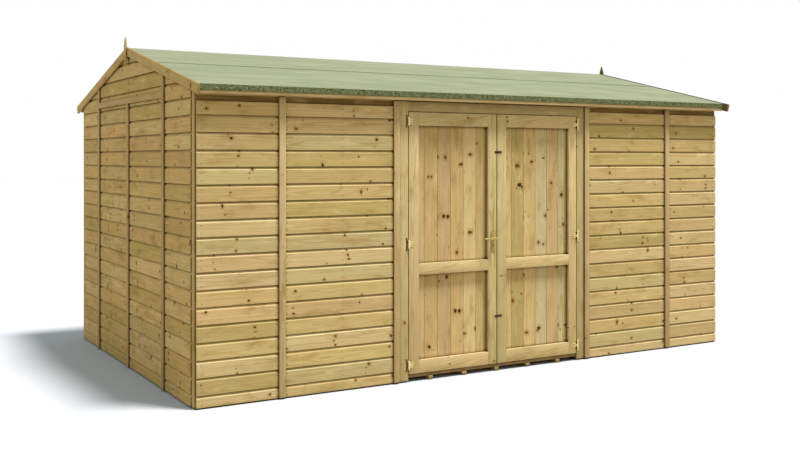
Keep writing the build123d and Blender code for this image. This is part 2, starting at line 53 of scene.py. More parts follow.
# Cladding, in metres
course = 0.1092  # from one board joint to the next
first_joint = 0.0847  # height of the lowest joint
scoop_height = 0.0205  # the hollow cut under each joint
scoop_depth = 0.0095
scoop_arris = 0.17  # share of the hollow that is splayed to the face
scoop_shares = (0.0, scoop_arris, 0.3, 0.45, 0.65, 0.82, 1.0)  # heights it is drawn at
arris_splay = 0.50  # depth of the splay to its height
board_lap = 0.009
lap_slack = 0.0008
foot_arris_depth = 0.0010
foot_arris_height = 0.0012
foot_ease = 0.0006  # where a panel cuts a board's foot off
top_ease = 0.0008  # and its top
corner_inset = 0.002  # from the corner to the front and rear boards' ends
corner_fillet_thickness = 0.007
corner_fillet_width = 0.040
corner_fillet_gap = 0.0002
board_gap = 0.0008
board_sag = 0.0004  # the most that a board's face lies back
board_sharp = 20  # least angle in degrees between a board's faces that stays a crisp arris
least_board = 0.003  # height of the lowest strip of board that is drawn
end_gap = 0.0012
door_board_pitch = 0.1105
door_board_vee = 0.0018
door_board_gap = 0.0004
least_door_board = 0.012
left_door_first_joint = -0.721
right_door_first_joint = 0.043

# Nails, screws and what they hold
nail_radius = 0.0029
clout_radius = 0.0040
small_screw_radius = 0.0028
nail_levels = ((1.0, 0.0), (0.92, 0.125), (0.45, 0.25))  # rings' reach and rise to the radius
nail_sides = 8
screw_levels = ((1.0, 0.0), (0.95, 0.10), (0.55, 0.16), (0.24, 0.16), (0.10, -0.25))
screw_sides = 16
screw_cross = 0.45  # what the cross cut leaves of the inner rings between its arms
nail_inset = 0.036  # from a panel's end to its nails
nail_shares = (0.22, 0.68)  # places up a board, as shares of its height
nail_sharp = 60
screw_sharp = 30
nail_wander = 0.003
one_row_height = 0.06  # a lower board has one row of nails
roof_nail_gap = 0.02  # from the roof to the nails under it
leaf_thickness = 0.0025
knuckle_reach = 0.0065  # from a hinge pin to the flat of its leaves
plate_thickness = 0.004
black_plate_thickness = 0.003
spindle_radius = 0.005
spindle_hole = 0.0065  # half the width of its square hole in a door board
neck_gap = 0.0004  # from the lever's necks to the door
widest_bay = 0.6  # a wider panel has a stud in its middle
far_gable = 2.0  # what lies further to the right is on the right gable
strip_nail_spacing = 0.42
strip_nail_end = 0.035  # from a strip's end to its first nail
strip_nail_wander = 0.006
clout_spacing = 0.095
clout_end = 0.03
clout_rise = 0.017  # above the foot of the felt's fold
clout_wander = 0.006
seam_clout_inset = 0.025  # from the ridge sheet's edge
bargeboard_nail_places = (0.06, 0.45, 0.86, 1.22, 1.52)
bargeboard_nail_rises = (0.018, 0.044)
batten_nail_places = (-0.78, -0.4, -0.03, 0.03, 0.4, 0.78)
door_head_nail_places = (0.03, 0.40, 0.757, 1.114, 1.484)
doorway_nail_inset = 0.018  # from the edge of the doorway's trim
post_nail_count = 5
post_nail_foot = 0.12
post_nail_ends = 0.2  # height of a door post below and above its nails
leaf_screws = ((0.013, -0.032), (0.013, 0.0), (0.013, 0.032))  # out from the pin, up
finger_screws = ((-0.034, -0.014), (-0.041, 0.0), (-0.034, 0.014))
plate_screw_inset = 0.011
narrow_plate = 0.02  # a black plate narrower than this has one screw
wide_plate_shares = (0.22, 0.78)

# Boards laid side by side inside and under the felt
floor_board_pitch = 0.112
roof_board_pitch = 0.102

# How far corners are eased, in metres, and which are, in degrees
flat_angle = 1
corner_angle = 25
timber_ease = 0.0012
trim_ease = 0.0016
plank_ease = 0.0010
felt_ease = 0.0022
leaf_ease = 0.0006
plate_ease = 0.0009
small_ease = 0.0008  # the black plates and the lever

# Adhesive at the felt's seams
bead_steps = 230
bead_end = 0.002
bead_width = 0.006
bead_wander = 0.004
bead_foot = 0.0031  # below the ridge sheet's upper corner
bead_lap = 0.0005
bead_rises = (0.0018, 0.0012, 0.0001)  # at the sheet's edge, halfway and at the rim

# The photograph's camera
camera_place = (-4.3515, -7.4515, 1.5583)
camera_azimuth = 30.508
focal_pixels = 1002.76
horizon_pixel = 158.46
image_width = 800
image_height = 450
sensor_width = 36.0

# Light
sun_travel = Vector((-0.225, 0.215, -0.95))
sun_softness = 11.0
wall_sun = 5.4
roof_sun = 1.45
floor_sun = 5.05
world_strength = 0.62
sky_tint = (1.0, 0.955, 0.83)
floor_bounce = (0.305, 0.294, 0.235)  # the floor's colour as the object sees it
floor_seen = (0.490, 0.570, 0.700)  # and as the camera sees it, white under its own sun
floor_sun_tint = (1.0, 0.865, 0.725)
floor_size = 120
floor_drop = 0.0005  # below the shed, so that their faces don't coincide
white = (1.0, 1.0, 1.0)
matt_specular = 0.08
knot_scale = (14.0, 24.0, 0.0)  # knots to a metre, along and across the grain

# Colours of treated softwood, as linear values
straw = (0.625, 0.482, 0.228)
cream = (0.690, 0.555, 0.300)
olive = (0.540, 0.434, 0.184)
sage = (0.590, 0.508, 0.262)
rose = (0.640, 0.482, 0.250)
pink = (0.610, 0.452, 0.250)
mint = (0.575, 0.520, 0.305)
pale = (0.570, 0.440, 0.250)
buff = (0.530, 0.400, 0.215)
moss = (0.480, 0.405, 0.225)
# Painted shade: dark brown for the long walls' rails under the eaves and their corner studs
umber = (0.185, 0.118, 0.040)
# Painted shade: dark brown for the sill under the doors
brown = (0.240, 0.170, 0.080)
drab = (0.330, 0.265, 0.135)
putty = (0.565, 0.485, 0.258)
# Painted shade: a near-black olive for the far finial
painted_shade_olive = (0.095, 0.088, 0.036)
board_shades = (0.90, 1.07)  # how dark and how light one piece of wood may be
channel_shades = (0.98, 1.02)
board_tints = (straw, straw, straw, cream, cream, olive, sage, rose)
long_wall_tints = tuple((0.970 * r, 0.980 * g, 0.985 * b) for r, g, b in board_tints)
# Painted shade colour: the gables' boards are warmer and less blue than the long walls'
gable_shade_tints = tuple((1.02 * r, 0.985 * g, 0.875 * b) for r, g, b in board_tints)
door_tints = (straw, cream, olive, mint, pink)
plain_tints = (straw, cream, straw)
trim_tints = (pale, buff, pale)
post_tints = (putty,)
head_tints = (moss, moss, olive)
stile_tints = (cream, cream, cream, sage)
frame_shade_tints = (umber,)
sill_shade_tints = (brown,)
bearer_tints = (drab,)
far_finial_shade_tints = (painted_shade_olive,)
inner_tints = (olive, straw)
plank_tints = (straw, cream, olive)


# Geometry helpers

def solids_of(node):
    """The closed solids of a CAD node, each as its points and faces."""
    mesh = frame["nodes"][node].data
    points = [tuple(round(c, 6) for c in vertex.co) for vertex in mesh.vertices]
    solids = []
    open_edges = set()
    index = {}
    faces = []
    for polygon in mesh.polygons:
        corners = [points[v] for v in polygon.vertices]
        for a, b in zip(corners, corners[1:] + corners[:1]):
            edge = frozenset((a, b))
            if len(edge) == 2:
                open_edges ^= {edge}
        face = [index.setdefault(corner, len(index)) for corner in corners]
        if len(set(face)) == len(face):
            faces.append(face)
        if not open_edges:
            solids.append((list(index), faces))
            index = {}
            faces = []
    return solids


def solid_box(points):
    low = Vector([min(p[k] for p in points) for k in range(3)])
    high = Vector([max(p[k] for p in points) for k in range(3)])
    return low, high


def boxes(node):
    """The lowest and highest corner of each of a CAD node's solids."""
    return [solid_box(points) for points, _ in solids_of(node)]


def longest_edge(bm):
    """Direction of a timber's longest edge, which is its grain."""
    edge = max(bm.edges, key=lambda e: e.calc_length())
    return (edge.verts[1].co - edge.verts[0].co).normalized()


def cross_axes(bm, grain):
    """The two directions across a timber: over its wide face, then through its thickness."""
    upright = z_axis if abs(grain.z) < 0.7 else x_axis
    first = upright.cross(grain).normalized()
    second = grain.cross(first)
    spread = []
    for axis in (first, second):
        reach = [v.co.dot(axis) for v in bm.verts]
        spread.append(max(reach) - min(reach))
    return (second, first) if spread[0] < spread[1] else (first, second)


def soften(bm, width, segments=2):
    """Rounds a solid's corners over."""
    bmesh.ops.dissolve_limit(bm, angle_limit=math.radians(flat_angle),
                             verts=bm.verts, edges=bm.edges)
    edges = [e for e in bm.edges
             if len(e.link_faces) == 2 and e.calc_face_angle() > math.radians(corner_angle)]
    bmesh.ops.bevel(bm, geom=edges, offset=width, segments=segments, profile=0.6,
                    affect="EDGES", clamp_overlap=True)


def band(bm, a, b):
    """Faces between two rings of points."""
    for k in range(len(a)):
        n = (k + 1) % len(a)
        bm.faces.new((a[k], a[n], b[n], b[k]))


def prism(profile, start, end, place):
    """A bar with that outline between two stations, put in place by a function of each point."""
    bm = bmesh.new()
    rings = [[bm.verts.new(place(station, a, b)) for a, b in profile] for station in (start, end)]
    band(bm, *rings)
    bm.faces.new(rings[0])
    bm.faces.new(rings[1])
    bmesh.ops.recalc_face_normals(bm, faces=bm.faces)
    return bm


def placed(name, data):
    """A new object in the scene."""
    made = bpy.data.objects.new(name, data)
    bpy.context.scene.collection.objects.link(made)
    return made


class Pieces:
    """Solids gathered into one mesh, each with its own grain direction and tint."""

    def __init__(self, seed):
        self.points, self.faces, self.grain, self.tint, self.cut = [], [], [], [], []
        self.random = random.Random(seed)

    def add(self, bm, grain=None, tint=None, tints=plain_tints):
        grain = grain or longest_edge(bm)
        face, through = cross_axes(bm, grain)
        pick = self.random
        shade = pick.uniform(*board_shades)
        shown = [shade * c * pick.uniform(*channel_shades)
                 for c in (tint or pick.choice(tints))] + [1.0]
        shift = Vector((pick.uniform(0, 60), pick.uniform(-0.05, 0.05), pick.uniform(-0.05, 0.05)))
        centre = sum((v.co for v in bm.verts), Vector()) / len(bm.verts)
        base = len(self.points)
        bm.normal_update()
        bm.verts.index_update()
        for vertex in bm.verts:
            at = vertex.co - centre
            self.points.append(tuple(vertex.co))
            self.grain += [at.dot(grain) + shift.x, at.dot(face) + shift.y,
                           at.dot(through) + shift.z]
            self.tint += shown
        for face in bm.faces:
            self.faces.append([base + vertex.index for vertex in face.verts])
            self.cut.append(float(abs(face.normal.dot(grain)) > 0.75))
        bm.free()

    def finish(self, name, body, material, slot, *nodes, sharp=35):
        mesh = bpy.data.meshes.new(name)
        mesh.from_pydata(self.points, [], self.faces)
        for key, kind, domain, field, values in (
                ("grain", "FLOAT_VECTOR", "POINT", "vector", self.grain),
                ("tint", "FLOAT_COLOR", "POINT", "color", self.tint),
                ("cut", "FLOAT", "FACE", "value", self.cut)):
            mesh.attributes.new(key, kind, domain).data.foreach_set(field, values)
        mesh.polygons.foreach_set("use_smooth", [True] * len(mesh.polygons))
        mesh.set_sharp_from_angle(angle=math.radians(sharp))
        mesh.materials.append(material)
        piece = placed(name, mesh)
        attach(piece, body)
        if nodes:
            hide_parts(*nodes)
        return piece


def planks(node, axis, pitch):
    """Cuts a CAD node's sheet into boards that lie side by side along an axis."""
    pieces = Pieces(node)
    across = Vector([float(k == axis) for k in range(3)])
    for points, faces in solids_of(node):
        low, high = solid_box(points)
        count = round((high[axis] - low[axis]) / pitch)
        step = (high[axis] - low[axis]) / count
        for k in range(count):
            bm = solid_mesh(points, faces)
            for edge, way in ((low[axis] + k * step, -1), (low[axis] + (k + 1) * step, 1)):
                slice_off(bm, across * (edge - way * board_gap / 2), across * way)
            grain = longest_edge(bm)
            soften(bm, plank_ease, 1)
            pieces.add(bm, grain, tints=plank_tints)
    pieces.finish(node + "_piece", "shed", frame_wood, "timber", node)


def solid_mesh(points, faces):
    bm = bmesh.new()
    verts = [bm.verts.new(p) for p in points]
    for face in faces:
        bm.faces.new([verts[k] for k in face])
    return bm


def everything(bm):
    return list(bm.verts) + list(bm.edges) + list(bm.faces)


def slice_off(bm, place, outwards):
    """Cuts away what lies beyond a plane and closes the cut."""
    cut = bmesh.ops.bisect_plane(bm, geom=everything(bm), plane_co=place, plane_no=outwards,
                                 clear_outer=True, dist=1e-6)
    edges = [e for e in cut["geom_cut"] if isinstance(e, bmesh.types.BMEdge)]
    if edges:
        bmesh.ops.holes_fill(bm, edges=edges, sides=0)
    if bm.faces:
        bmesh.ops.recalc_face_normals(bm, faces=bm.faces)


def dress(node, body, material, slot, width=timber_ease, tints=plain_tints, segments=2, seed=0,
          far_shade_tints=None):
    """Redraws a CAD node's solids with eased edges and a grain; at the far gable they take the
    darker far tints, if given, as painted shade.
    """
    pieces = Pieces(f"{node} {seed}")
    for points, faces in solids_of(node):
        bm = solid_mesh(points, faces)
        grain = longest_edge(bm)
        soften(bm, width, segments)
        far = far_shade_tints and solid_box(points)[0].x > far_gable
        pieces.add(bm, grain, tints=far_shade_tints if far else tints)
    return pieces.finish(node + "_piece", body, material, slot, node)


def two_tone(piece, material, chosen):
    """Gives a second material to the faces that a test of their centre and normal picks."""
    mesh = piece.data
    mesh.materials.append(material)
    for polygon in mesh.polygons:
        if chosen(polygon.center, polygon.normal):
            polygon.material_index = 1


def dress_long_wall_frames():
    """The long walls' frames, whose rails and corner studs are painted darker than the rest, as
    shade under the eaves and in the corners.
    """
    node = "long_wall_frames"
    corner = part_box(node)[1].x
    pieces = Pieces(node)
    for points, faces in solids_of(node):
        bm = solid_mesh(points, faces)
        grain = longest_edge(bm)
        reach = max(abs(p[0]) for p in points)
        # Painted shade: rails and corner studs take the dark tint
        dark = abs(grain.z) < 0.5 or reach > corner - 0.001
        soften(bm, timber_ease)
        pieces.add(bm, grain, tints=frame_shade_tints if dark else inner_tints)
    pieces.finish(node + "_piece", "shed", frame_wood, "timber", node)


# Shader helpers

class Nodes:
    """Builds a node tree."""

    def __init__(self, tree):
        self.tree = tree

    def node(self, kind, inputs=(), **settings):
        made = self.tree.nodes.new("ShaderNode" + kind)
        for key, value in settings.items():
            setattr(made, key, value)
        for key, value in dict(inputs).items():
            self.join(value, made.inputs[key])
        return made

    def join(self, value, socket):
        if isinstance(value, bpy.types.NodeSocket):
            self.tree.links.new(value, socket)
        else:
            socket.default_value = (*value, 1.0) if socket.type == "RGBA" else value

    def math(self, operation, a, b=0.0, c=0.0):
        return self.node("Math", {0: a, 1: b, 2: c}, operation=operation).outputs[0]

    def times(self, a, b):
        return self.math("MULTIPLY", a, b)

    def plus(self, a, b):
        return self.math("ADD", a, b)

    def vector(self, operation, a, b=(0, 0, 0)):
        made = self.node("VectorMath", {0: a, 1: b}, operation=operation)
        return made.outputs["Value" if operation == "LENGTH" else "Vector"]

    def mix(self, factor, a, b):
        made = self.node("Mix", data_type="RGBA")
        self.join(factor, made.inputs["Factor"])
        self.join(a, made.inputs[6])
        self.join(b, made.inputs[7])
        return made.outputs[2]

    def ramp(self, value, low, high, to_low=0.0, to_high=1.0):
        made = self.node("MapRange", {"Value": value, "From Min": low, "From Max": high,
                                      "To Min": to_low, "To Max": to_high})
        made.interpolation_type = "SMOOTHSTEP"
        return made.outputs[0]

    def noise(self, vector, scale, detail=3.0, roughness=0.55):
        return self.node("TexNoise", {"Vector": vector, "Scale": scale, "Detail": detail,
                                      "Roughness": roughness}).outputs["Fac"]


class Shader(Nodes):
    """Builds one material's nodes."""

    def __init__(self, name):
        self.material = bpy.data.materials.new(name)
        self.material.use_nodes = True
        super().__init__(self.material.node_tree)
        self.surface = self.tree.nodes["Principled BSDF"]

    def nook(self, distance, samples, low, high, most):
        """How far a point lies in a nook, which sets how much painted shade it gets."""
        made = self.node("AmbientOcclusion", {"Distance": distance}, samples=samples)
        return self.ramp(made.outputs["AO"], low, high, most, 0.0)

    def coat(self, base, rough, height, strength, distance):
        """Gives the material its colour, roughness and relief."""
        self.join(base, self.surface.inputs["Base Color"])
        self.join(rough, self.surface.inputs["Roughness"])
        made = self.node("Bump", {"Height": height, "Strength": strength, "Distance": distance})
        self.join(made.outputs[0], self.surface.inputs["Normal"])
        return self.material


# Materials

def wood(name, knots=0.6, crevice_shade=0.96, stain=0.4, knot_size=0.0082, whorl_run=0.42):
    """Treated softwood: growth rings and streaks along the grain, knots and a green cast."""
    s = Shader(name)
    grain = s.node("Attribute", attribute_name="grain").outputs["Vector"]
    tint = s.node("Attribute", attribute_name="tint").outputs["Color"]
    cut = s.node("Attribute", attribute_name="cut").outputs["Fac"]

    def stretched(along, across, detail, roughness=0.55):
        """Noise that is drawn out along the grain: its scale that way and across."""
        return s.noise(s.vector("MULTIPLY", grain, (along, across, across)), 1.0, detail, roughness)

    # One knot to a cell: its distance in metres, some drawn out across the board
    scaled = s.vector("MULTIPLY", grain, knot_scale)
    cells = s.node("TexVoronoi", {"Vector": scaled, "Scale": 1.0, "Randomness": 1.0},
                   voronoi_dimensions="3D")
    chance = s.node("SeparateColor", {0: cells.outputs["Color"]})
    apart = s.node("SeparateXYZ", {0: s.vector("SUBTRACT", scaled, cells.outputs["Position"])})
    squeeze = s.ramp(chance.outputs[2], 0.62, 1.0, 1.0 / knot_scale[1], 0.34 / knot_scale[1])
    flat = s.node("CombineXYZ", {0: s.times(apart.outputs[0], 0.85 / knot_scale[0]),
                                 1: s.times(apart.outputs[1], squeeze)})
    reach = s.vector("LENGTH", flat.outputs[0])
    ragged = s.noise(grain, 170.0, 2.0)
    reach = s.plus(reach, s.times(s.math("SUBTRACT", ragged, 0.5), 0.0045))
    radius = s.ramp(chance.outputs[0], 1 - knots, 1.0, 0.0, knot_size)
    at = s.node("SeparateXYZ", {0: cells.outputs["Position"]}).outputs[0]
    whorl = s.times(at, 1 / (knot_scale[0] * whorl_run))
    row = s.node("TexVoronoi", {"W": whorl, "Scale": 1.0, "Randomness": 0.9},
                 voronoi_dimensions="1D")
    away = s.times(row.outputs["Distance"], whorl_run)
    radius = s.times(radius, s.ramp(away, 0.030, 0.040, 1.0, 0.16))
    share = s.math("DIVIDE", reach, s.plus(radius, 0.0002))
    core = s.times(s.ramp(share, 0.70, 1.15, 1.0, 0.0), s.ramp(radius, 0.0010, 0.0022))
    halo = s.times(s.ramp(share, 0.9, 3.2, 1.0, 0.0), s.ramp(radius, 0.0012, 0.0032))

    # Rings bend round the knots
    parts = s.node("SeparateXYZ", {0: grain})
    wobble = stretched(1.3, 5.0, 2.0)
    wobble = s.times(s.math("SUBTRACT", wobble, 0.5), 0.06)
    across = s.plus(s.plus(parts.outputs[1], wobble), s.times(halo, 0.012))
    depth = s.plus(parts.outputs[2], wobble)
    ringed = s.node("CombineXYZ", {0: s.times(parts.outputs[0], 0.03), 1: across, 2: depth})
    rings = s.node("TexWave", {"Vector": ringed.outputs[0], "Scale": 36.0, "Distortion": 1.8,
                               "Detail": 2.0, "Detail Scale": 1.2},
                   wave_type="RINGS", rings_direction="X").outputs["Fac"]
    streaks = stretched(2.6, 110.0, 3.0, 0.6)
    patches = stretched(4.5, 13.0, 3.0, 0.6)
    hues = stretched(2.2, 7.0, 2.0)
    fine = stretched(34.0, 620.0, 2.0)
    flecks = stretched(60.0, 190.0, 2.0)

    # Each layer: where it starts and ends, its share at both, and its colour
    base = tint
    for field, low, high, at_low, at_high, shade in (
            (rings, 0.35, 1.0, 0.0, 0.42, (0.430, 0.270, 0.080)),
            (streaks, 0.48, 0.82, 0.0, 0.50, (0.330, 0.215, 0.070)),
            (streaks, 0.18, 0.46, 0.42, 0.0, (0.790, 0.640, 0.340)),
            (hues, 0.54, 0.78, 0.0, stain, (0.430, 0.380, 0.150)),
            (hues, 0.22, 0.44, stain, 0.0, (0.660, 0.425, 0.185)),
            (patches, 0.50, 0.78, 0.0, 0.70, (0.350, 0.235, 0.072)),
            (patches, 0.22, 0.44, 0.45, 0.0, (0.780, 0.635, 0.350)),
            (fine, 0.5, 0.9, 0.0, 0.22, (0.260, 0.165, 0.050)),
            (flecks, 0.66, 0.80, 0.0, 0.45, (0.190, 0.110, 0.035))):
        base = s.mix(s.ramp(field, low, high, at_low, at_high), base, shade)

    # Knots, sawn ends, and painted shade darkening the wood in nooks and recesses
    base = s.mix(s.times(halo, 0.55), base, (0.330, 0.175, 0.045))
    dark = s.mix(s.ramp(chance.outputs[1], 0.35, 0.65),
                 (0.125, 0.066, 0.018), (0.018, 0.008, 0.004))
    base = s.mix(s.times(core, 0.95), base, dark)
    base = s.mix(s.times(cut, 0.45), base, (0.300, 0.195, 0.075))
    # Painted shade: the wood turns deep brown where ambient occlusion finds a nook
    base = s.mix(s.nook(0.032, 8, 0.30, 0.92, crevice_shade), base, (0.078, 0.036, 0.004))
    s.surface.inputs["Specular IOR Level"].default_value = matt_specular
    height = s.plus(s.times(streaks, 0.6), s.times(fine, 0.4))
    height = s.math("SUBTRACT", height, s.times(core, 0.5))
    return s.coat(base, s.ramp(streaks, 0.2, 0.9, 0.66, 0.86), height, 0.35, 0.0006)


def rusty_steel():
    """The brown heads of weathered nails."""
    s = Shader("nail_steel")
    place = s.node("TexCoord").outputs["Object"]
    rust = s.noise(place, 420.0, 3.0)
    base = s.mix(s.ramp(rust, 0.35, 0.7), (0.090, 0.055, 0.026), (0.030, 0.017, 0.009))
    s.surface.inputs["Metallic"].default_value = 0.3
    return s.coat(base, s.ramp(rust, 0.3, 0.7, 0.45, 0.75), rust, 0.3, 0.0003)


def felt():
    """Green mineral felt: pale on the slopes as painted sheen, darker where it turns down as
    painted shade, and mottled there.
    """
    s = Shader("felt_green")
    place = s.node("TexCoord").outputs["Object"]
    chips = s.node("TexVoronoi", {"Vector": place, "Scale": 520.0}).outputs["Color"]
    chip = s.node("SeparateColor", {0: chips}).outputs[0]
    mottle = s.noise(place, 95.0, 3.0, 0.65)
    cloud = s.noise(s.vector("MULTIPLY", place, (1.0, 3.0, 3.0)), 2.2, 3.0)
    runs = s.noise(s.vector("MULTIPLY", place, (1.4, 26.0, 26.0)), 1.0, 3.0)
    sheen_by_facing = s.node("SeparateXYZ", {0: s.node("NewGeometry").outputs["True Normal"]}).outputs[2]
    top = s.mix(s.ramp(cloud, 0.3, 0.7), (0.420, 0.468, 0.315), (0.510, 0.560, 0.400))
    top = s.mix(s.ramp(runs, 0.48, 0.72, 0.0, 0.6), top, (0.350, 0.400, 0.258))
    top = s.mix(s.ramp(chip, 0.0, 1.0, 0.0, 0.20), top, (0.270, 0.320, 0.170))
    side = s.mix(s.ramp(mottle, 0.36, 0.66), (0.090, 0.115, 0.048), (0.275, 0.320, 0.165))
    side = s.mix(s.ramp(chip, 0.88, 0.98, 0.0, 0.5), side, (0.44, 0.48, 0.36))
    # Painted sheen and shade: faces pointing up take the pale top colour, faces pointing sideways
    # the darker side colour
    base = s.mix(s.ramp(sheen_by_facing, 0.35, 0.80), side, top)
    # Painted shade in the felt's creases and along the bargeboards
    base = s.mix(s.nook(0.012, 6, 0.2, 0.85, 0.7), base, (0.03, 0.045, 0.022))
    s.surface.inputs["Specular IOR Level"].default_value = matt_specular
    grit = s.plus(chip, mottle)
    return s.coat(base, s.ramp(chip, 0.0, 1.0, 0.82, 0.98), grit, 0.5, 0.0008)


def smeared(name, dark, light):
    """A mottled, smeared coat: felt adhesive, or dark painted shade on timber."""
    s = Shader(name)
    place = s.node("TexCoord").outputs["Object"]
    smear = s.noise(place, 60.0, 3.0)
    base = s.mix(s.ramp(smear, 0.3, 0.7), dark, light)
    return s.coat(base, s.ramp(smear, 0.3, 0.7, 0.5, 0.8), smear, 0.4, 0.0008)


def metal(name, base, dull, roughness, metallic):
    """A worked metal: its tarnish and its polish vary over the surface, and painted shade darkens
    its nooks.
    """
    s = Shader(name)
    place = s.node("TexCoord").outputs["Object"]
    tarnish = s.noise(place, 90.0, 4.0, 0.6)
    brushed = s.noise(s.vector("MULTIPLY", place, (900.0, 900.0, 60.0)), 1.0, 2.0)
    mixed = s.mix(s.ramp(tarnish, 0.40, 0.75, 0.0, 0.7), base, dull)
    # Painted shade: the metal darkens where ambient occlusion finds a nook
    mixed = s.mix(s.nook(0.006, 6, 0.2, 0.8, 0.6), mixed, (0.06, 0.04, 0.015))
    s.surface.inputs["Metallic"].default_value = metallic
    rough = s.ramp(tarnish, 0.3, 0.8, roughness, roughness + 0.22)
    return s.coat(mixed, rough, brushed, 0.06, 0.0002)


cladding_wood = wood("cladding_wood")
gable_wood = wood("gable_wood", knots=0.75, stain=0.62)
fillet_wood = wood("fillet_wood", knots=0.0, crevice_shade=0.45)
trim_wood = wood("trim_wood", knots=0.35, stain=0.35, whorl_run=0.8)
door_wood = wood("door_wood", knots=0.8, stain=0.35, knot_size=0.0125, whorl_run=0.5)
frame_wood = wood("frame_wood", knots=0.4, crevice_shade=0.75, whorl_run=0.7)
nail_steel = rusty_steel()
felt_green = felt()
felt_adhesive = smeared("felt_adhesive", (0.045, 0.075, 0.040), (0.085, 0.130, 0.070))
# Painted shade for the bargeboards' inner faces and the far one's top
verge_painted_shade = smeared("verge_painted_shade", (0.085, 0.074, 0.030), (0.150, 0.125, 0.054))
brass = metal("brass", (0.47, 0.36, 0.125), (0.30, 0.21, 0.055), 0.60, 0.45)
hinge_brass = metal("hinge_brass", (0.90, 0.75, 0.38), (0.74, 0.59, 0.25), 0.50, 0.4)
# A dark copy of the brass, for painted shade and shadow on hinge and backplate faces
brass_painted_shade = metal("brass_painted_shade", (0.105, 0.060, 0.012), (0.050, 0.026, 0.005), 0.55, 0.6)
black_steel = metal("black_steel", (0.020, 0.012, 0.006), (0.040, 0.026, 0.014), 0.65, 0.0)
zinc = metal("zinc", (0.42, 0.45, 0.38), (0.22, 0.25, 0.20), 0.5, 0.6)


# Boarded walls

class Wall:
    """A boarded face: which way it runs and faces, and where its strips divide it."""

    def __init__(self, origin, along, inward, joints, low, high):
        gable = abs(inward.x) > 0.5
        self.tints = gable_shade_tints if gable else long_wall_tints
        self.inset = end_gap if gable else corner_inset
        self.material = gable_wood if gable else cladding_wood
        self.origin, self.along, self.inward = origin, along, inward
        self.joints, self.low, self.high = joints, low, high

    def place(self, station, depth, height):
        flat = self.origin + self.along * station + self.inward * depth
        return Vector((flat.x, flat.y, height))


def hollow(part):
    """Depth of the scoop at a share of its height: a splayed arris, then a hollow."""
    splay = scoop_arris * scoop_height * arris_splay
    rest = max(part - scoop_arris, 0.0) / (1 - scoop_arris)
    curve = (scoop_depth - splay) * math.sin(rest * math.pi / 2)
    return splay * min(part / scoop_arris, 1.0) + curve


def board_profile(low, high, thickness, base, top):
    """Depth and height of a shiplap board's outline between two joints, cut to the panel."""
    bottom = max(low, base)
    outline = []
    if bottom == low:
        outline += [(scoop_depth + lap_slack, low + board_gap),
                    (foot_arris_depth, low + board_gap), (0.0, low + board_gap + foot_arris_height)]
    else:
        outline += [(thickness, bottom), (foot_ease, bottom), (0.0, bottom + foot_ease)]
    if high <= top:
        for part in scoop_shares:
            outline.append((hollow(part), high - scoop_height * (1 - part)))
        reach = min(high + board_lap, top)
        outline += [(scoop_depth, reach), (thickness, reach)]
    else:
        edge = min(top, high - scoop_height)
        if edge < top:
            outline += [(0.0, edge), (hollow((top - edge) / scoop_height), top)]
        else:
            outline += [(0.0, edge - top_ease), (top_ease, edge)]
        outline.append((thickness, top))
    if bottom == low:
        outline += [(thickness, low + board_lap + board_gap),
                    (scoop_depth + lap_slack, low + board_lap + board_gap)]
    return outline


def clad(wall, pieces, nails, thickness, roof=None):
    """Covers a wall with boards, panel by panel and course by course."""
    pick = pieces.random
    for left, right in zip(wall.joints, wall.joints[1:]):
        last = None
        count = int((wall.high - first_joint) / course) + 2
        ends = [left + end_gap, right - end_gap]
        ends[0] += wall.inset * (left == wall.joints[0])
        ends[1] -= wall.inset * (right == wall.joints[-1])
        for k in range(-1, count):
            low, high = first_joint + k * course, first_joint + (k + 1) * course
            if high <= wall.low + least_board or low >= wall.high - least_board:
                continue
            sag = pick.uniform(0.0, board_sag)
            profile = board_profile(low, high, thickness, wall.low, wall.high)
            bm = prism(profile, *ends,
                       lambda s, d, z: wall.place(s, d + sag if d < thickness else d, z))
            if roof:
                trim_to_roof(bm, wall, *roof)
            if not bm.faces:
                bm.free()
                continue
            tint = pick.choice([t for t in wall.tints if t is not last])
            last = tint
            pieces.add(bm, wall.along, tint)
            nail_board(wall, nails, left, right, max(low, wall.low), min(high, wall.high), roof)


def trim_to_roof(bm, wall, apex, slope):
    """Cuts a board off along both slopes of the roof."""
    for way in (-1, 1):
        along = wall.along * way
        normal = Vector((along.x * slope, along.y * slope, 1.0)).normalized()
        slice_off(bm, Vector((wall.origin.x, wall.origin.y, apex)), normal)


def nail_board(wall, nails, left, right, low, high, roof):
    """Two nails to a board at each stud."""
    run = right - left - 2 * nail_inset
    bays = 2 if right - left > widest_bay else 1
    for k in range(bays + 1):
        wander = nails.random.uniform(-nail_wander, nail_wander)
        station = left + nail_inset + run * k / bays + wander
        for share in nail_shares:
            height = low + (high - low) * share
            if high - low < one_row_height and share > 0.5:
                continue
            if roof and height > roof[0] - roof[1] * abs(station) - roof_nail_gap:
                continue
            head(nails, wall.place(station, 0.0, height), -wall.inward, nail_radius)


def head(pieces, centre, normal, radius):
    """A low domed nail head that stands on a face."""
    turned(pieces, centre, normal, radius, nail_levels, nail_sides, 1.0)


def screw(pieces, centre, normal, radius):
    """A countersunk head with a cross cut."""
    turned(pieces, centre, normal, radius, screw_levels, screw_sides, screw_cross)


def turned(pieces, centre, normal, radius, levels, sides, cross):
    """Rings round an axis, the inner ones drawn in to a cross, closed at the top."""
    bm = bmesh.new()
    side = normal.orthogonal().normalized()
    other = normal.cross(side)
    rings = []
    for reach, rise in levels:
        ring = []
        for k in range(sides):
            angle = 2 * math.pi * k / sides
            inner = reach * (1.0 if reach > 0.3 or k % 4 == 0 else cross)
            spoke = side * math.cos(angle) + other * math.sin(angle)
            ring.append(bm.verts.new(centre + spoke * radius * inner + normal * radius * rise))
        rings.append(ring)
    for a, b in zip(rings, rings[1:]):
        band(bm, a, b)
    bm.faces.new(rings[-1])
    pieces.add(bm, side)


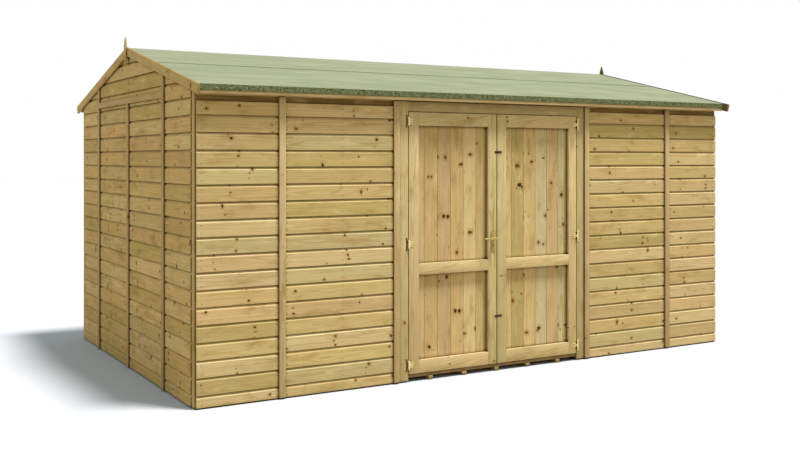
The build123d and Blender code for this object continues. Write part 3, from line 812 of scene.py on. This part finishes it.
def strip_centres(node, axis, way_axis, way):
    """Places of the cover strips on one side of the shed."""
    centres = [(low + high) / 2 for low, high in boxes(node)]
    return sorted(centre[axis] for centre in centres if centre[way_axis] * way > 0)


def build_walls():
    front_low, front_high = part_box("front_wall_left")
    right_low, right_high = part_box("front_wall_right")
    rear_low, rear_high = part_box("rear_wall")
    gable_low, gable_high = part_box("left_gable_wall")
    top_low, top_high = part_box("gable_tops")
    thickness = front_high.y - front_low.y
    front = strip_centres("long_wall_cover_strips", 0, 1, -1)
    rear = strip_centres("long_wall_cover_strips", 0, 1, 1)
    side = strip_centres("gable_cover_strips", 1, 0, -1)
    outer = [y for y in side if abs(y) > 0.1]
    left_joints = [front_low.x] + [x for x in front if x < front_high.x - 0.05] + [front_high.x]
    right_joints = [right_low.x] + [x for x in front if x > right_low.x + 0.05] + [right_high.x]
    rear_joints = [rear_low.x] + rear + [rear_high.x]
    front_origin, rear_origin = Vector((0, front_low.y, 0)), Vector((0, rear_high.y, 0))
    walls = {
        "front_wall_left": Wall(front_origin, x_axis, y_axis, left_joints,
                                front_low.z, front_high.z),
        "front_wall_right": Wall(front_origin, x_axis, y_axis, right_joints,
                                 right_low.z, right_high.z),
        "rear_wall": Wall(rear_origin, x_axis, -y_axis, rear_joints, rear_low.z, rear_high.z),
    }
    for way, name in ((-1, "left_gable_wall"), (1, "right_gable_wall")):
        walls[name] = Wall(Vector((way * top_high.x, 0, 0)), y_axis, -way * x_axis,
                           [gable_low.y] + side + [gable_high.y], gable_low.z, gable_high.z)
    nails = Pieces("wall nails")
    for name, wall in walls.items():
        pieces = Pieces(name)
        clad(wall, pieces, nails, thickness)
        pieces.finish(name + "_boards", "shed", wall.material, "timber", name, sharp=board_sharp)
    corner_fillets(gable_low, gable_high)
    pieces = Pieces("gable tops")
    for way in (-1, 1):
        wall = Wall(Vector((way * top_high.x, 0, 0)), y_axis, -way * x_axis,
                    [gable_low.y] + outer + [gable_high.y], top_low.z, top_high.z)
        clad(wall, pieces, nails, thickness, roof=roof_line())
    pieces.finish("gable_top_boards", "shed", gable_wood, "timber", "gable_tops",
                  sharp=board_sharp)
    nails.finish("wall_nails", "shed", nail_steel, "timber", sharp=nail_sharp)


def corner_fillets(low, high):
    """Slim upright fillets in the corners between the gable panels and the long walls."""
    pieces = Pieces("corner fillets")
    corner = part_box("long_wall_frames")[1].x
    face = corner + corner_fillet_thickness
    near, far = high.y + corner_fillet_gap, high.y + corner_fillet_width
    outline = [(corner, near), (face, near), (face, far), (corner, far)]
    for side in (-1, 1):
        for way in (-1, 1):
            bm = prism(outline, low.z, high.z, lambda z, x, y: Vector((side * x, way * y, z)))
            pieces.add(bm, z_axis, cream)
    pieces.finish("corner_fillets", "shed", fillet_wood, "timber")


def roof_line():
    """Apex height and slope of the roof boards' underside."""
    points = [p for solid, _ in solids_of("gable_tops") for p in solid]
    apex = max(p[2] for p in points)
    edge = max(p[1] for p in points)
    shoulder = max(p[2] for p in points if p[1] > edge - 1e-4)
    return apex, (apex - shoulder) / edge


# Doors

def door_boards(name, body, first):
    """Upright boards with a vee at each joint, between the door's edges."""
    low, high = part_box(name)
    pieces = Pieces(name)
    joints = [low.x]
    at = first
    while at < high.x - least_door_board:
        if at > low.x + least_door_board:
            joints.append(at)
        at += door_board_pitch
    joints.append(high.x)
    thickness = high.y - low.y
    vee = door_board_vee
    spindle = joint_place("lever_turn")
    last = None
    for left, right in zip(joints, joints[1:]):
        a, b = left + door_board_gap / 2, right - door_board_gap / 2
        profile = [(a + vee, 0.0), (b - vee, 0.0), (b, vee), (b, thickness - vee),
                   (b - vee, thickness), (a + vee, thickness), (a, thickness - vee), (a, vee)]
        bm = prism(profile, low.z, high.z, lambda z, x, d: Vector((x, low.y + d, z)))
        if name == "left_door_boards" and left < spindle.x < right:
            pierce(bm, spindle, spindle_hole)
        tint = pieces.random.choice([t for t in door_tints if t is not last])
        last = tint
        pieces.add(bm, z_axis, tint)
    pieces.finish(name + "_piece", body, door_wood, "timber", name)


def joint_place(name):
    """Place of a joint at rest."""
    return Vector(next(j["pos_m"] for j in frame["joints"] if j["name"] == name))


def pierce(bm, centre, half):
    """Cuts a square hole through a board from its face to its back."""
    for axis in (x_axis, z_axis):
        for way in (-1, 1):
            bmesh.ops.bisect_plane(bm, geom=everything(bm), plane_co=centre + way * half * axis,
                                   plane_no=axis)
    inside = []
    for face in bm.faces:
        away = face.calc_center_median() - centre
        if max(abs(away.x), abs(away.z)) < half:
            inside.append(face)
    bmesh.ops.delete(bm, geom=inside, context="FACES")
    rim = [edge for edge in bm.edges if len(edge.link_faces) == 1]
    bmesh.ops.bridge_loops(bm, edges=rim)
    bmesh.ops.recalc_face_normals(bm, faces=bm.faces)


def ease_necks(lever):
    """Keeps the lever's necks a hair off both faces of the door, so that they turn freely."""
    axis = joint_place("lever_turn")
    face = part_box("left_door_stiles")[0].y
    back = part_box("left_door_boards")[1].y
    for vertex in lever.data.vertices:
        away = math.hypot(vertex.co.x - axis.x, vertex.co.z - axis.z)
        if away > spindle_radius + neck_gap:
            if abs(vertex.co.y - face) < neck_gap:
                vertex.co.y = face - neck_gap
            elif abs(vertex.co.y - back) < neck_gap:
                vertex.co.y = back + neck_gap


def hinge_screws(node, body, spots):
    """Screws in a hinge leaf, as places from its pin outwards and up from its middle."""
    pieces = Pieces(node + " screws")
    for low, high in boxes(node):
        way = -1 if low.x < 0 else 1
        pin = way * hinge_line()
        middle = (low.z + high.z) / 2
        for out, up in spots:
            spot = Vector((pin + way * out, high.y - leaf_thickness, middle + up))
            screw(pieces, spot, forwards, small_screw_radius)
    pieces.finish(node + "_screws", body, brass, "brass", sharp=screw_sharp)


def hinge_line():
    """Distance of the hinge pins from the middle of the doorway."""
    return abs(joint_place("right_door_hinge").x)


def plate_screws():
    """Screws at both ends of the lever's backplates and in the black plates."""
    pieces = Pieces("plate screws")
    for low, high in boxes("handle_plates"):
        middle = (low + high) / 2
        outside = middle.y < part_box("left_door_boards")[0].y
        face = high.y - plate_thickness if outside else low.y + plate_thickness
        for z in (low.z + plate_screw_inset, high.z - plate_screw_inset):
            spot = Vector((middle.x, face, z))
            screw(pieces, spot, forwards if outside else y_axis, small_screw_radius)
    pieces.finish("handle_plate_screws", "left_door", brass, "brass", sharp=screw_sharp)
    for door in ("left_door", "right_door"):
        pieces = Pieces(door + " plate screws")
        for low, high in boxes(door + "_meeting_plates"):
            for share in (0.5,) if high.x - low.x < narrow_plate else wide_plate_shares:
                x = low.x + (high.x - low.x) * share
                spot = Vector((x, high.y - black_plate_thickness, (low.z + high.z) / 2))
                screw(pieces, spot, forwards, small_screw_radius)
        pieces.finish(door + "_plate_screws", door, black_steel, "black_metal", sharp=screw_sharp)


def build_doors():
    for door, first in (("left_door", left_door_first_joint),
                        ("right_door", right_door_first_joint)):
        door_boards(door + "_boards", door, first)
        dress(door + "_stiles", door, trim_wood, "timber", tints=stile_tints, seed=3)
        dress(door + "_rails", door, trim_wood, "timber", tints=stile_tints, seed=5)
        dress(door + "_ledges", door, frame_wood, "timber", seed=1)
        dress(door + "_hinge_leaves", door, hinge_brass, "brass", width=leaf_ease)
        dress(door + "_meeting_plates", door, black_steel, "black_metal", width=small_ease)
    pin = hinge_line()
    post_leaves = dress("post_hinge_leaves", "shed", hinge_brass, "brass", width=leaf_ease)
    # Painted shadow of the knuckles: post leaf faces left of each pin take the dark brass
    two_tone(post_leaves, brass_painted_shade,
             lambda centre, normal: centre.x < -pin - knuckle_reach or 0 < centre.x < pin)
    plates = dress("handle_plates", "left_door", brass, "brass", width=plate_ease)
    # Painted shade on the backplates' sides
    two_tone(plates, brass_painted_shade, lambda centre, normal: abs(normal.y) < 0.5)
    ease_necks(dress("lever_handle", "lever", brass, "brass", width=small_ease, segments=3))
    hinge_screws("post_hinge_leaves", "shed", leaf_screws)
    for door in ("left_door", "right_door"):
        hinge_screws(door + "_hinge_leaves", door, finger_screws)
    plate_screws()


# Roof

def build_roof():
    covering = [dress(node, "shed", felt_green, "felt", width=felt_ease, segments=3)
                for node in ("front_felt", "rear_felt", "ridge_felt")]
    ridge_low, ridge_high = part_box("ridge_felt")
    felt_low, felt_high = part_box("rear_felt")
    clouts = Pieces("clouts")
    slope = roof_line()[1]
    run = ridge_high.x - ridge_low.x - 2 * clout_end
    count = int(run / clout_spacing)
    for k in range(count + 1):
        x = ridge_low.x + clout_end + k * run / count
        for way in (-1, 1):
            wander = clouts.random.uniform(-clout_wander, clout_wander)
            spot = Vector((x + wander, way * felt_high.y, felt_low.z + clout_rise + wander * 0.5))
            head(clouts, spot, Vector((0, way, 0)), clout_radius)
            edge = seam_edge(way)
            on_slope = Vector((x + 2 * wander, edge.y - way * seam_clout_inset,
                               edge.z + seam_clout_inset * slope))
            head(clouts, on_slope, Vector((0, way * slope, 1)).normalized(), clout_radius)
    covering.append(clouts.finish("felt_clouts", "shed", zinc, "felt", sharp=nail_sharp))
    covering.append(seam_beads())
    return covering


def seam_edge(way):
    """Upper corner of the ridge sheet's edge on one slope."""
    points = [p for solid, _ in solids_of("ridge_felt") for p in solid]
    reach = max(p[1] for p in points)
    height = max(p[2] for p in points if p[1] > reach - 1e-4)
    return Vector((0, way * reach, height))


def seam_beads():
    """Adhesive squeezed out along the edges of the ridge sheet."""
    low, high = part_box("ridge_felt")
    slope = roof_line()[1]
    pieces = Pieces("beads")
    for way in (-1, 1):
        edge = seam_edge(way)
        bm = bmesh.new()
        before = None
        for k in range(bead_steps + 1):
            x = low.x + bead_end + (high.x - low.x - 2 * bead_end) * k / bead_steps
            width = bead_width + bead_wander * pieces.random.random()
            foot = edge.z - bead_foot
            spots = (
                (x, edge.y - way * bead_lap, foot + bead_rises[0]),
                (x, edge.y + way * width * 0.5, foot - slope * width * 0.5 + bead_rises[1]),
                (x, edge.y + way * width, foot - slope * width + bead_rises[2]),
            )
            row = [bm.verts.new(spot) for spot in spots]
            if before:
                for m in range(2):
                    bm.faces.new((before[m], before[m + 1], row[m + 1], row[m]))
            before = row
        bmesh.ops.recalc_face_normals(bm, faces=bm.faces)
        pieces.add(bm, x_axis)
    return pieces.finish("felt_seam_beads", "shed", felt_adhesive, "felt", sharp=nail_sharp)


# Trim and frames

def trim(node, tints=plain_tints, far_shade_tints=None):
    return dress(node, "shed", trim_wood, "timber", trim_ease, tints, far_shade_tints=far_shade_tints)


def build_trim():
    for node in ("long_wall_cover_strips", "gable_cover_strips", "gable_battens", "eaves_fascias"):
        trim(node, trim_tints)
    # The sill's dark tint is painted shade under the doors
    for node, tints in (("door_posts", post_tints), ("door_head", head_tints),
                        ("door_stops", head_tints), ("door_sill", sill_shade_tints)):
        trim(node, tints)
    bargeboards = trim("bargeboards")
    # Painted shade: the bargeboards' faces towards the roof and the far one's top take a dark olive
    # coat
    two_tone(bargeboards, verge_painted_shade, lambda centre, normal: centre.x * normal.x < -0.8
             or centre.x > 0 and normal.z > 0.8)
    # Painted shade: the far finial takes a near-black olive tint
    finials = trim("finials", far_shade_tints=far_finial_shade_tints)
    dress("floor_bearers", "shed", frame_wood, "timber", tints=bearer_tints)
    for node in ("gable_frames", "purlins", "ridge_beam",
                 "rafters", "truss_timbers", "truss_gussets"):
        dress(node, "shed", frame_wood, "timber", tints=inner_tints)
    dress_long_wall_frames()
    planks("floor_boards", 1, floor_board_pitch)
    for node in ("front_roof_boards", "rear_roof_boards"):
        planks(node, 0, roof_board_pitch)
    strip_nails()
    trim_nails()
    return [bargeboards, finials]


def strip_nails():
    """Nails down the middle of each cover strip."""
    nails = Pieces("strip nails")
    for node, axis in (("long_wall_cover_strips", 1), ("gable_cover_strips", 0)):
        for low, high in boxes(node):
            middle = (low + high) / 2
            way = 1 if middle[axis] > 0 else -1
            normal = Vector((way, 0, 0)) if axis == 0 else Vector((0, way, 0))
            run = high.z - low.z - 2 * strip_nail_end
            count = int(run / strip_nail_spacing)
            for k in range(count + 1):
                spot = middle.copy()
                spot[axis] = high[axis] if way > 0 else low[axis]
                spot[1 - axis] += nails.random.uniform(-strip_nail_wander, strip_nail_wander)
                spot.z = high.z - strip_nail_end - k * run / count
                head(nails, spot, normal, nail_radius)
    nails.finish("strip_nails", "shed", nail_steel, "timber", sharp=nail_sharp)


def trim_nails():
    """Nails through the bargeboards, the gable battens and the trim round the doorway."""
    nails = Pieces("trim nails")
    slope = roof_line()[1]
    for points, _ in solids_of("bargeboards"):
        low, high = solid_box(points)
        way = 1 if high.y > 0.5 else -1
        outwards = 1 if low.x > 0 else -1
        face = high.x if outwards > 0 else low.x
        foot = min(p[2] for p in points if abs(p[1]) < 0.01)
        for y in bargeboard_nail_places:
            for rise in bargeboard_nail_rises:
                spot = Vector((face, way * y, foot - slope * y + rise))
                head(nails, spot, Vector((outwards, 0, 0)), nail_radius)
    for low, high in boxes("gable_battens"):
        outwards = 1 if low.x > 0 else -1
        face = high.x if outwards > 0 else low.x
        for y in batten_nail_places:
            spot = Vector((face, y, (low.z + high.z) / 2))
            head(nails, spot, Vector((outwards, 0, 0)), nail_radius)
    low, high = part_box("door_head")
    for x in door_head_nail_places:
        for z in (low.z + doorway_nail_inset, high.z - doorway_nail_inset):
            head(nails, Vector((low.x + x, low.y, z)), forwards, nail_radius)
    for low, high in boxes("door_posts"):
        width = high.x - low.x
        run = high.z - low.z - post_nail_ends
        for k in range(post_nail_count):
            z = low.z + post_nail_foot + k * run / (post_nail_count - 1)
            x = low.x + (doorway_nail_inset if low.x < 0 else width - doorway_nail_inset)
            head(nails, Vector((x, low.y, z)), forwards, nail_radius)
    nails.finish("trim_nails", "shed", nail_steel, "timber", sharp=nail_sharp)


# Floor, light and camera

def build_floor():
    bpy.ops.mesh.primitive_plane_add(size=floor_size, location=(0, 0, -floor_drop))
    floor = bpy.context.object
    floor.name = "studio_floor"
    s = Shader("studio_floor")
    path = s.node("LightPath")
    seen = s.math("MAXIMUM", path.outputs["Is Camera Ray"], path.outputs["Is Glossy Ray"])
    seen = s.math("MAXIMUM", seen, path.outputs["Is Transmission Ray"])
    place = s.node("TexCoord").outputs["Object"]
    grit = s.noise(place, 300.0, 2.0)
    s.join(s.mix(seen, floor_bounce, floor_seen), s.surface.inputs["Base Color"])
    s.join(s.ramp(grit, 0.0, 1.0, 0.95, 1.0), s.surface.inputs["Roughness"])
    s.surface.inputs["Specular IOR Level"].default_value = 0.0
    floor.data.materials.append(s.material)
    return floor


def sun(name, strength, things, only, tint=white):
    """A soft sun that lights those things only, or everything but them."""
    lamp = bpy.data.lights.new(name, "SUN")
    lamp.energy = strength
    lamp.color = tint
    lamp.angle = math.radians(sun_softness)
    made = placed(name, lamp)
    made.rotation_euler = sun_travel.to_track_quat("-Z", "Y").to_euler()
    group = bpy.data.collections.new(name + "_things")
    for thing in things:
        group.objects.link(thing)
    made.light_linking.receiver_collection = group
    for entry in group.collection_objects:
        entry.light_linking.link_state = "INCLUDE" if only else "EXCLUDE"


def build_light(floor, roof):
    sun("wall_sun", wall_sun, [floor] + roof, False)
    sun("roof_sun", roof_sun, roof, True)
    sun("floor_sun", floor_sun, [floor], True, floor_sun_tint)
    world = bpy.data.worlds.new("studio")
    bpy.context.scene.world = world
    world.use_nodes = True
    s = Nodes(world.node_tree)
    background = s.tree.nodes["Background"]
    path = s.node("LightPath")
    seen = s.math("MAXIMUM", path.outputs["Is Camera Ray"], path.outputs["Is Glossy Ray"])
    level = s.node("MapRange", {"Value": seen, "To Min": world_strength, "To Max": 1.0})
    s.join(level.outputs[0], background.inputs["Strength"])
    s.join(s.mix(seen, sky_tint, white), background.inputs["Color"])


def build_camera():
    camera = bpy.data.cameras.new("photo_camera")
    camera.sensor_width = sensor_width
    camera.lens = focal_pixels * sensor_width / image_width
    camera.shift_y = (horizon_pixel - image_height / 2) / image_width
    made = placed("photo_camera", camera)
    made.location = camera_place
    made.rotation_euler = (math.radians(90), 0, math.radians(-camera_azimuth))
    bpy.context.scene.camera = made


build_camera()
build_walls()
build_doors()
covering = build_roof() + build_trim()
build_light(build_floor(), covering)
bpy.context.scene.view_settings.view_transform = "Standard"
